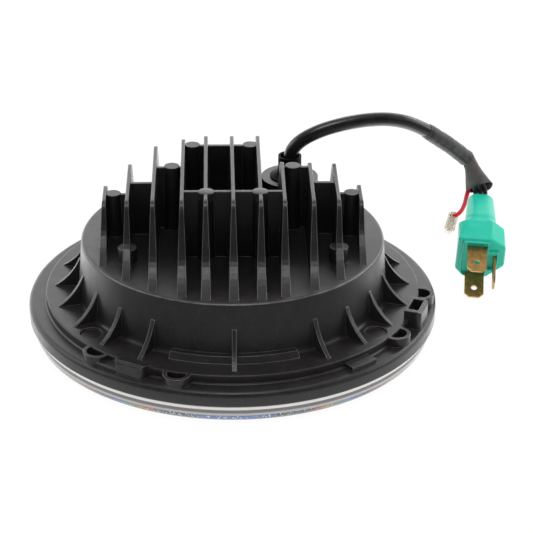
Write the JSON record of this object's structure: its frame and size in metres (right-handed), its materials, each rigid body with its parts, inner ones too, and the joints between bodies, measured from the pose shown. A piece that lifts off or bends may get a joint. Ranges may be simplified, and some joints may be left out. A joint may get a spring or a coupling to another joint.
{
  "type": "motorcycle headlight",
  "caption": "Round LED headlight unit for a motorcycle: black finned casting behind a clear flat lens, with a short cable that ends in a green bladed plug.",
  "frame": {"origin": "on the lamp's axis, in the plane of the lens's flat outer face, which lies on the table", "axes": "+Z along the lamp's axis from the lens to the fins, +X towards the side where the cable hangs, +Y towards the cable outlet, and the fins run along Y"},
  "size_m": [0.213, 0.1806, 0.0797],
  "materials": {
    "casting": "satin black coated die casting",
    "clear_lens": "clear moulded lens",
    "seal_rubber": "cured sealing bead",
    "black_plastic": "matt black",
    "white_diffuser": "milky light guide",
    "white_board": "white solder mask",
    "mirror_coating": "bright vacuum coating on plastic",
    "emitter": "yellow phosphor under a clear dome",
    "heat_pad": "soft grey pad",
    "green_board": "green solder mask",
    "ferrite": "dark ferrite",
    "capacitor_can": "dark sleeved can",
    "screw_steel": "zinc plated",
    "wire_jacket": "black wire insulation",
    "grommet_rubber": "black moulded rubber",
    "cable_jacket": "glossy black jacket",
    "sleeve_black": "satin black tubing",
    "green_plastic": "satin sea green moulding",
    "blade_brass": "bright stamped brass",
    "red_jacket": "red wire insulation",
    "clear_sleeve": "soft clear sleeve",
    "tinned_metal": "tinned terminal"
  },
  "bodies": {
    "root": {"rear_housing": "casting", "front_lens": "clear_lens", "lens_seal": "seal_rubber", "bezel": "black_plastic", "light_ring": "white_diffuser", "ring_board": "white_board", "low_beam_reflector": "mirror_coating", "high_beam_reflector": "mirror_coating", "led_board": "white_board", "led_emitters": "emitter", "heat_pad": "heat_pad", "driver_board": "green_board", "driver_coil": "ferrite", "driver_capacitors": "capacitor_can", "board_screws": "screw_steel", "reflector_screws": "screw_steel", "inner_leads": "wire_jacket", "cable_grommet": "grommet_rubber", "cable": "cable_jacket", "shrink_sleeve": "sleeve_black", "loose_sleeve": "sleeve_black", "plug_leads": "wire_jacket", "plug_body": "green_plastic", "blade_upper": "blade_brass", "blade_lower": "blade_brass", "blade_side": "blade_brass", "red_lead": "red_jacket", "terminal_cover": "clear_sleeve", "terminal_crimp": "tinned_metal"}
  },
  "joints": []
}
